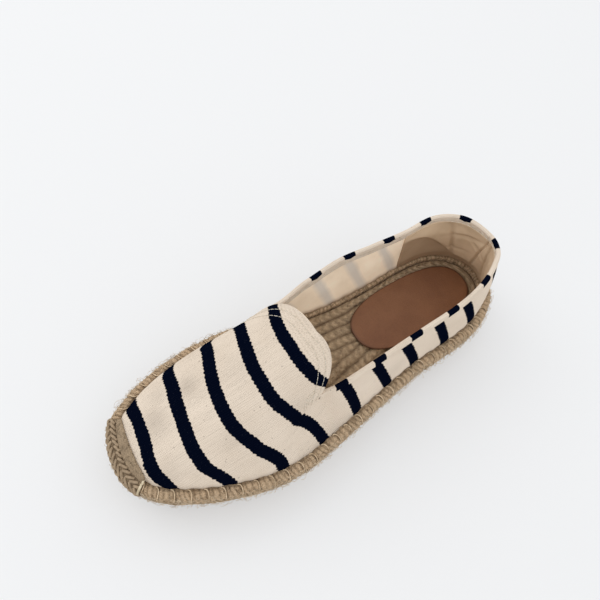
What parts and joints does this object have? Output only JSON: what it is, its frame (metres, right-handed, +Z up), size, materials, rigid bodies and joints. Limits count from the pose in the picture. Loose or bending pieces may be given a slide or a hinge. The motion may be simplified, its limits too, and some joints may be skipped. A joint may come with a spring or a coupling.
{
  "type": "espadrille",
  "caption": "Slip-on espadrille, left shoe: striped canvas upper with a raised vamp tab and low collar, on a thick coiled jute sole with a leather heel sock and a thin rubber outsole.",
  "frame": {"origin": "On the floor, under the middle of the sole's bounding box.", "axes": "+X from heel to toe, +Y to the outer side of the left foot, +Z up."},
  "size_m": [0.247, 0.0905, 0.087],
  "materials": {
    "rubber": "thin matt crepe rubber",
    "jute": "braided natural jute",
    "footbed_jute": "flat rows of darker jute braid",
    "leather": "smooth brown leather",
    "canvas": "cream cotton canvas with navy stripes and a thin lining"
  },
  "bodies": {
    "root": {"outsole": "rubber", "jute_sole": "jute", "edge_braid": "jute", "footbed": "footbed_jute", "heel_sock": "leather", "upper": "canvas", "toe_braid": "jute"}
  },
  "joints": []
}
